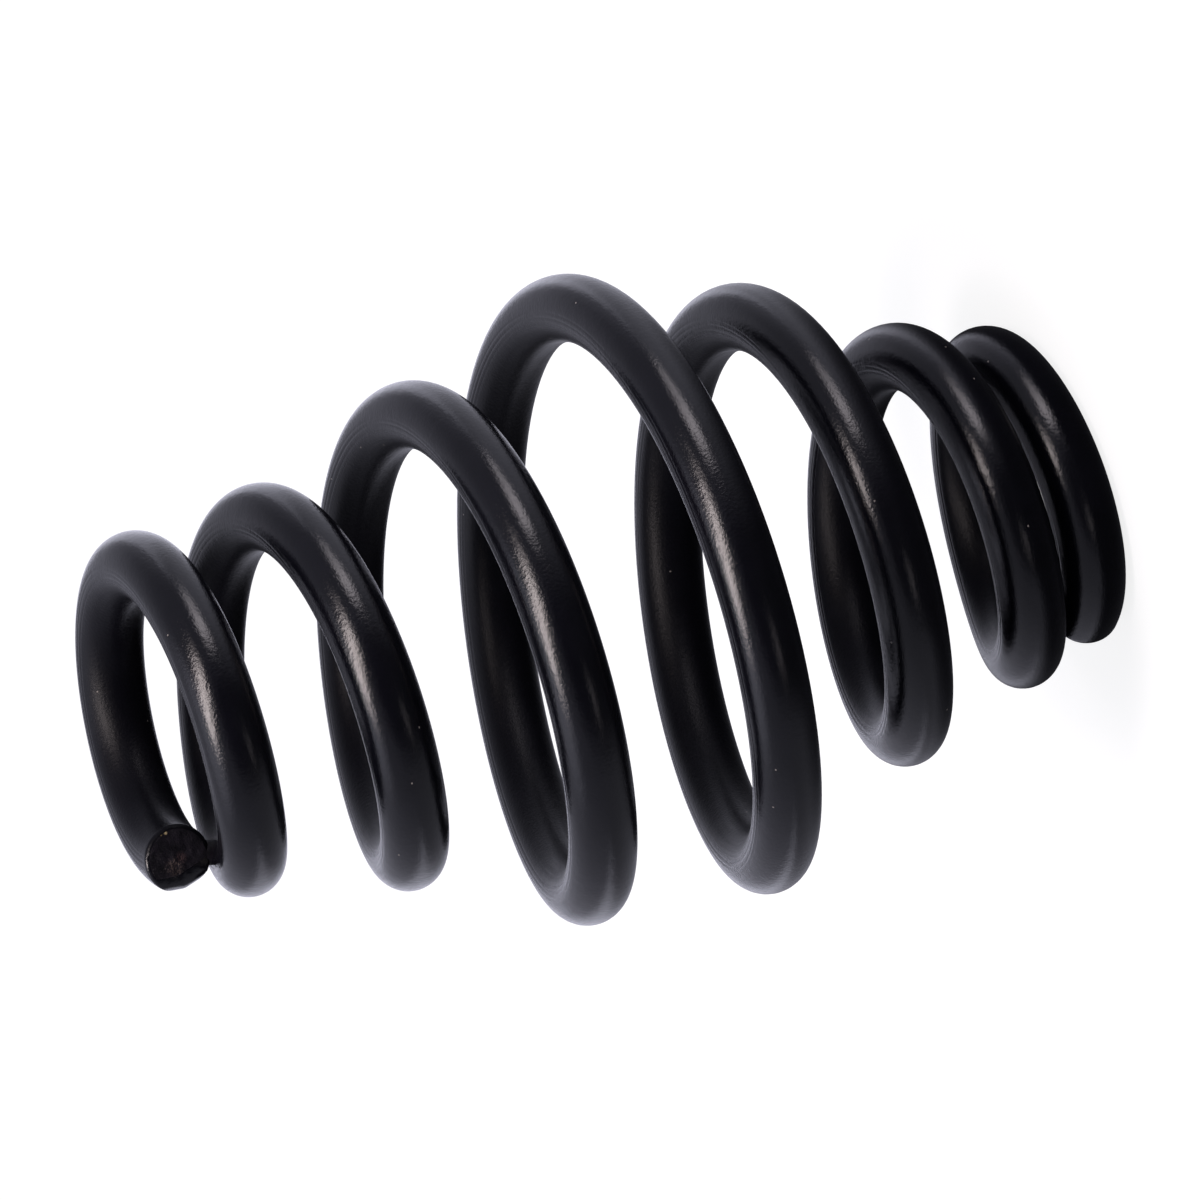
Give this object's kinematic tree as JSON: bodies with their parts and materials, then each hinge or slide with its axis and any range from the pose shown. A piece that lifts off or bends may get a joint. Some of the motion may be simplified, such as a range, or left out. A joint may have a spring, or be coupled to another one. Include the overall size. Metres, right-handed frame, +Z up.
{
  "type": "barrel spring",
  "caption": "Barrel-shaped steel compression spring of round black wire, narrow at both closed ends and wide in the middle.",
  "frame": {"origin": "middle of the bottom end coil, on the surface that the spring stands on", "axes": "+Z up, square to the plane of the bottom end coil; the coils lean 7.2 degrees from it, mostly towards +X; -Y is the side that the picture shows"},
  "size_m": [0.1199, 0.1201, 0.1868],
  "materials": {
    "black_wire": "satin"
  },
  "bodies": {
    "root": {"spring_coil": "black_wire"}
  },
  "joints": []
}
